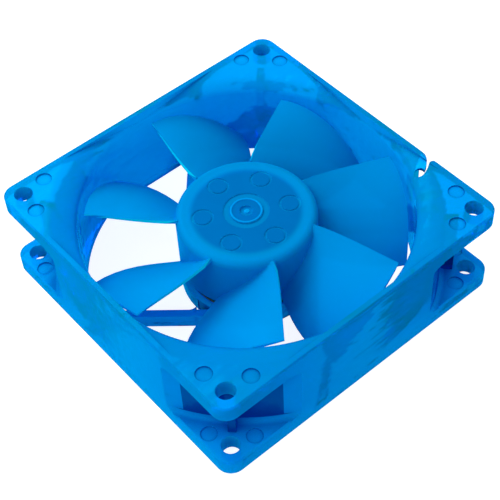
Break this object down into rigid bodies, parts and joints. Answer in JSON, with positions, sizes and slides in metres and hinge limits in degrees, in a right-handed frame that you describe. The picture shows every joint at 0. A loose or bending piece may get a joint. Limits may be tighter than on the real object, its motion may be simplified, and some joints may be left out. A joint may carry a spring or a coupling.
{
  "type": "case fan",
  "caption": "Square axial cooling fan with a moulded frame, swept struts and a twisted-blade impeller that spins on an outer-rotor motor.",
  "frame": {"origin": "centre of the rear (exhaust) face, on the shaft axis", "axes": "+Z along the shaft axis towards the intake face, +X through the side that has the lead notch, +Y square to both"},
  "size_m": [0.08, 0.08, 0.025],
  "materials": {
    "frame_plastic": "translucent blue moulding, smooth with a soft satin grain",
    "rotor_plastic": "translucent blue moulding, a little clearer than the frame",
    "brass": "turned",
    "bronze": "sintered, oil filled",
    "black_rubber": "matt",
    "white_nylon": "satin",
    "felt": "oiled felt",
    "silicon_steel": "stamped laminations",
    "copper_wire": "enamelled copper wire",
    "tinned_metal": "tinned",
    "board_laminate": "solder mask",
    "black_epoxy": "moulded epoxy",
    "capacitor_can": "drawn can",
    "diode_glass": "glass body",
    "zinc_steel": "zinc plated, deep drawn",
    "magnet_rubber": "bonded ferrite",
    "shaft_steel": "ground",
    "spring_steel": "blued"
  },
  "bodies": {
    "frame": {"frame": "frame_plastic", "bearing_tube": "brass", "sleeve_bearing": "bronze", "bearing_plug": "black_rubber", "thrust_pad": "white_nylon", "oil_felt": "felt", "tube_cap": "white_nylon", "stator_core": "silicon_steel", "insulator_front": "white_nylon", "insulator_rear": "white_nylon", "coil_a": "copper_wire", "coil_b": "copper_wire", "coil_c": "copper_wire", "coil_d": "copper_wire", "terminal_pins": "tinned_metal", "circuit_board": "board_laminate", "hall_sensor": "black_epoxy", "driver_chip": "black_epoxy", "filter_capacitor": "capacitor_can", "blocking_diode": "diode_glass", "chip_resistors": "black_epoxy", "lead_pads": "tinned_metal"},
    "rotor": {"impeller": "rotor_plastic", "rotor_yoke": "zinc_steel", "ring_magnet": "magnet_rubber", "shaft_boss": "brass", "shaft": "shaft_steel", "retaining_ring": "spring_steel", "wear_washer": "white_nylon"}
  },
  "joints": [
    {"name": "rotor_spin", "type": "hinge", "parent": "frame", "child": "rotor", "pos_m": [0, 0, 0.0125], "axis": [0, 0, 1], "continuous": true}
  ]
}
